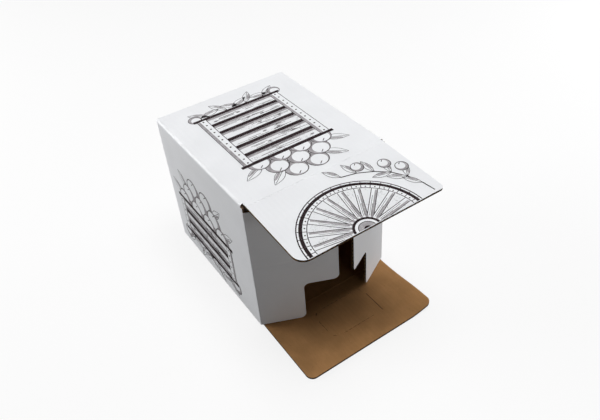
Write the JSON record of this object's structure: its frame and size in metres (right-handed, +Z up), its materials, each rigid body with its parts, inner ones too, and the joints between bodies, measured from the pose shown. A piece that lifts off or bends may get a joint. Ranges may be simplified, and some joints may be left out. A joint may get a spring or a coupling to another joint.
{
  "type": "bag-in-box carton",
  "caption": "White corrugated carton lying on its side with its mouth flaps open, with a folded film bag and a turn tap inside.",
  "frame": {"origin": "middle of the body's base, on the surface that the carton lies on", "axes": "+Z up, +Y from the open mouth back into the carton, +X to the right as seen from the mouth"},
  "size_m": [0.214, 0.36, 0.217],
  "materials": {
    "board": "matte white outer liner",
    "kraft_board": "plain brown kraft liner",
    "film": "glossy film",
    "white_plastic": "satin moulded plastic",
    "seal": "matte",
    "red_plastic": "satin moulded plastic"
  },
  "bodies": {
    "carton": {"carton_body": "board", "bag": "film", "bag_gland": "white_plastic", "tap_gasket": "seal", "tap_body": "white_plastic"},
    "top_flap": {"top_flap": "board"},
    "bottom_flap": {"bottom_flap": "kraft_board"},
    "left_side_flap": {"left_side_flap": "board"},
    "right_side_flap": {"right_side_flap": "board"},
    "tap_plug": {"tap_plug": "red_plastic"}
  },
  "joints": [
    {"name": "top_flap_crease", "type": "hinge", "parent": "carton", "child": "top_flap", "pos_m": [0, -0.1252, 0.2172], "axis": [-1, 0, 0], "range_deg": [0, 182]},
    {"name": "bottom_flap_crease", "type": "hinge", "parent": "carton", "child": "bottom_flap", "pos_m": [0, -0.1252, -0.0002], "axis": [1, 0, 0], "range_deg": [0, 179]},
    {"name": "left_side_flap_crease", "type": "hinge", "parent": "carton", "child": "left_side_flap", "pos_m": [-0.1072, -0.122, 0.1085], "axis": [0, 0, -1], "range_deg": [-24, 245]},
    {"name": "right_side_flap_crease", "type": "hinge", "parent": "carton", "child": "right_side_flap", "pos_m": [0.1072, -0.122, 0.1085], "axis": [0, 0, 1], "range_deg": [-28, 241]},
    {"name": "tap_turn", "type": "hinge", "parent": "carton", "child": "tap_plug", "pos_m": [0, 0.025, 0.0509], "axis": [0, 1, 0], "range_deg": [0, 90]}
  ]
}
